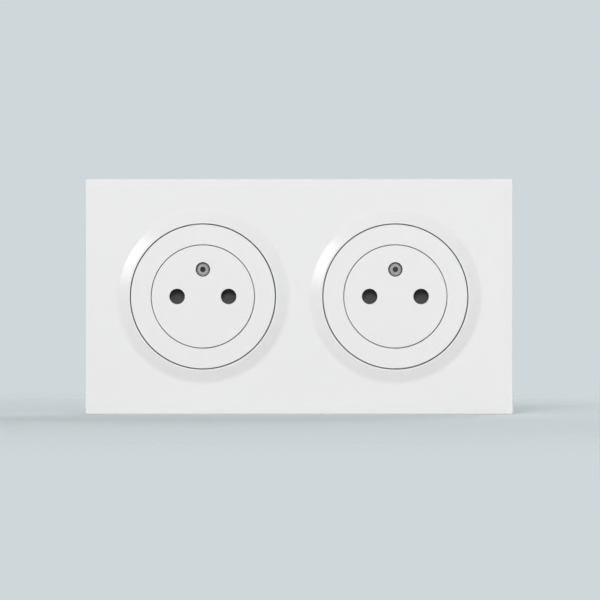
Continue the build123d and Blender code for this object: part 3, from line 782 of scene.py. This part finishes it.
head = add(screw, "GeometryNodeMeshBoolean", {"Mesh 1": head, "Mesh 2": blade}, solver="MANIFOLD")["Mesh"]
print("screw head takes", len(screw.nodes), "nodes")

# %% [markdown]
# The shank is a core with a thread round it: a spiral swept with a small diamond that stands out of the core
# by a third of the pitch. Head, core and thread could stay three shells that overlap, but a union makes them
# one closed body, as they are on the real screw. Each copy is turned by a random angle from a fixed seed,
# because screws are left wherever they came tight, and the whole screw is tipped so that its head looks to
# the back, along +Y.

# %% Screw tree, thread and places
SHANK_SIDES = 24
THREAD_STEPS = 24
THREAD_CORNERS = 4
THREAD_SHARE = 0.33
HELD_SHARE = 0.25
SLOT_SEED = 4
ridge = add(screw, "ShaderNodeMath", {0: size["Pitch"], 1: THREAD_SHARE}, operation="MULTIPLY")[0]
core = add(screw, "ShaderNodeMath", {0: size["Shank radius"], 1: ridge}, operation="SUBTRACT")[0]
held = add(screw, "ShaderNodeMath", {0: size["Head height"], 1: HELD_SHARE}, operation="MULTIPLY")[0]
long = add(screw, "ShaderNodeMath", {0: size["Shank length"], 1: held}, operation="ADD")[0]
tip = add(screw, "ShaderNodeMath", {0: size["Shank length"], 1: size["Head height"]}, operation="ADD")[0]
tip = add(screw, "ShaderNodeMath", {0: tip, 1: -1.0}, operation="MULTIPLY")[0]
middle = add(screw, "ShaderNodeMath", {0: long, 1: 0.5, 2: tip}, operation="MULTIPLY_ADD")[0]
middle = add(screw, "ShaderNodeCombineXYZ", {"Z": middle})[0]
shank = add(screw, "GeometryNodeMeshCylinder", {"Vertices": SHANK_SIDES, "Radius": core, "Depth": long})[0]
shank = add(screw, "GeometryNodeTransform", {"Geometry": shank, "Translation": middle})[0]
climb = add(screw, "ShaderNodeMath", {0: size["Shank length"], 1: size["Pitch"]}, operation="SUBTRACT")[0]
turns = add(screw, "ShaderNodeMath", {0: climb, 1: size["Pitch"]}, operation="DIVIDE")[0]
winding = {"Rotations": turns, "Start Radius": core, "End Radius": core, "Height": climb}
helix = add(screw, "GeometryNodeCurveSpiral", {"Resolution": THREAD_STEPS, **winding})[0]
diamond = add(screw, "GeometryNodeCurvePrimitiveCircle", {"Resolution": THREAD_CORNERS, "Radius": ridge})[0]
sweep = {"Curve": helix, "Profile Curve": diamond, "Fill Caps": True}
thread = add(screw, "GeometryNodeCurveToMesh", sweep)[0]
foot = add(screw, "ShaderNodeMath", {0: size["Pitch"], 1: 0.5, 2: tip}, operation="MULTIPLY_ADD")[0]
foot = add(screw, "ShaderNodeCombineXYZ", {"Z": foot})[0]
thread = add(screw, "GeometryNodeTransform", {"Geometry": thread, "Translation": foot})[0]
pieces = {"Mesh 2": [head, shank, thread]}
joined = add(screw, "GeometryNodeMeshBoolean", pieces, operation="UNION", solver="MANIFOLD")["Mesh"]
tipped = add(screw, "GeometryNodeTransform", {"Geometry": joined, "Rotation": (math.radians(-90), 0, 0)})[0]
spin = add(
    screw,
    "FunctionNodeRandomValue",
    {0: (0, -math.pi / 2, 0), 1: (0, math.pi / 2, 0), "Seed": SLOT_SEED},
    data_type="FLOAT_VECTOR",
)[0]
set_on_places(screw, tipped, size["Places"], spin, zinc_screw)
print("screw tree has", len(screw.nodes), "nodes")

# %% [markdown]
# The frame says where the screws go. A terminal's screw stands over its wire, so its place comes from the
# wire's mount in the record, and the two housing screws sit in opposite corners of their own box.

# %% Terminal and housing screws
ROUND = 0.4 * MM
SLOT = 0.8 * MM
terminal_screw = {
    "Head radius": 2.5 * MM,
    "Head height": 1.6 * MM,
    "Shank radius": 1.45 * MM,
    "Pitch": 0.5 * MM,
}
housing_screw = {
    "Head radius": 1.8 * MM,
    "Head height": 1.5 * MM,
    "Shank radius": 1.0 * MM,
    "Pitch": 0.7 * MM,
}
mounts = {mount["name"]: mount for mount in frame["record"]["mounts"]}


def screws(node, sizes, spots):
    """Screws that stand for a node, with their heads at its back and one at each spot in XZ."""
    low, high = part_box(node)
    sizes = {**sizes, "Round": ROUND, "Slot width": SLOT, "Slot depth": SLOT}
    sizes["Shank length"] = high[1] - low[1] - sizes["Head height"]
    made = grow(f"{node}_threaded", screw, [(x, high[1], z) for x, z in spots], sizes)
    stand_for(made, node)


for side in sides:
    wires = [mounts[f"{side}_{wire}_wire"]["pos_m"] for wire in ("live", "neutral", "earth")]
    screws(f"{side}_terminal_screws", terminal_screw, [(wire[0], wire[2]) for wire in wires])
    low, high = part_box(f"{side}_housing_screws")
    rim = housing_screw["Head radius"]
    corners = [(low[0] + rim, low[2] + rim), (high[0] - rim, high[2] - rim)]
    screws(f"{side}_housing_screws", housing_screw, corners)

# %% [markdown]
# ## Marks on the back
# Wiring rules ask for a mark beside each terminal: L for live, N for neutral and the earth symbol, a stem on
# three bars of falling width. They are raised in the tool, so they stand a third of a millimetre proud of
# the shallow recess between the terminals and never above its rim. The letters start as text, because the
# font already has their outlines, and become a mesh before they are set in place.

# %% Letters and earth symbol
MARK_RISE = 0.35 * MM
MARK_SINK = 0.1 * MM
LETTER_SIZE = 3.4 * MM
LETTER_BOLD = 0.06 * MM
EARTH_BARS = (3.2 * MM, 2.1 * MM, 1.0 * MM)
BAR_STEP = 0.85 * MM
BAR_THICK = 0.45 * MM
STEM = 1.5 * MM


def letter(character):
    """A mesh of one raised letter, upright in XY and centred on the origin."""
    text = bpy.data.curves.new("letter", "FONT")
    text.body = character
    text.size = LETTER_SIZE
    text.offset = LETTER_BOLD
    text.align_x = "CENTER"
    text.align_y = "CENTER"
    text.extrude = (MARK_RISE + MARK_SINK) / 2
    carrier = bpy.data.objects.new("letter", text)
    scene.collection.objects.link(carrier)
    evaluated = carrier.evaluated_get(bpy.context.evaluated_depsgraph_get())
    mesh = bpy.data.meshes.new_from_object(evaluated)
    bpy.data.objects.remove(carrier)
    return mesh


def earth_symbol():
    """A mesh of the earth symbol, upright in XY, with its widest bar on the origin."""
    shape = bmesh.new()
    bars = [(width, BAR_THICK, -BAR_STEP * row) for row, width in enumerate(EARTH_BARS)]
    for width, height, y in [*bars, (BAR_THICK, STEM, (BAR_THICK + STEM) / 2)]:
        place = Matrix.Translation((0, y, 0)) @ Matrix.Diagonal((width, height, MARK_RISE + MARK_SINK, 1))
        bmesh.ops.create_cube(shape, size=1.0, matrix=place)
    mesh = bpy.data.meshes.new("earth_symbol")
    shape.to_mesh(mesh)
    shape.free()
    return mesh


print("earth symbol is", round(EARTH_BARS[0] / MM, 1), "mm wide, in", len(EARTH_BARS), "bars and a stem")

# %% [markdown]
# Seen from behind, the letters read from +X to -X, so each is turned until its front looks along +Y. Live is
# on the right as seen from the front, and so on the left from behind.

# %% Marks in their recess
RECESS = 0.5 * MM
MARK_X = 2.5 * MM
LETTER_Z = -14.0 * MM
EARTH_Z = 7.2 * MM
from_behind = Matrix(((-1, 0, 0), (0, 0, 1), (0, 1, 0))).to_4x4()
for side in sides:
    low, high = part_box(f"{side}_rear_housing")
    wire = mounts[f"{side}_earth_wire"]["pos_m"]
    floor_y = high[1] - RECESS
    lift = floor_y + (MARK_RISE - MARK_SINK) / 2
    shape = bmesh.new()
    for mesh, x, z in (
        (letter("L"), MARK_X, LETTER_Z),
        (letter("N"), -MARK_X, LETTER_Z),
        (earth_symbol(), 0, EARTH_Z),
    ):
        mesh.transform(Matrix.Translation((wire[0] + x, lift, z)) @ from_behind)
        shape.from_mesh(mesh)
    bmesh.ops.remove_doubles(shape, verts=shape.verts, dist=MERGE)
    bmesh.ops.recalc_face_normals(shape, faces=shape.faces)
    mesh = bpy.data.meshes.new(f"{side}_terminal_marks")
    shape.to_mesh(mesh)
    shape.free()
    mesh.materials.append(housing_grey)
    marks = bpy.data.objects.new(f"{side}_terminal_marks", mesh)
    scene.collection.objects.link(marks)
    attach(marks, "base")
    print(side, "marks have", len(mesh.polygons), "faces")
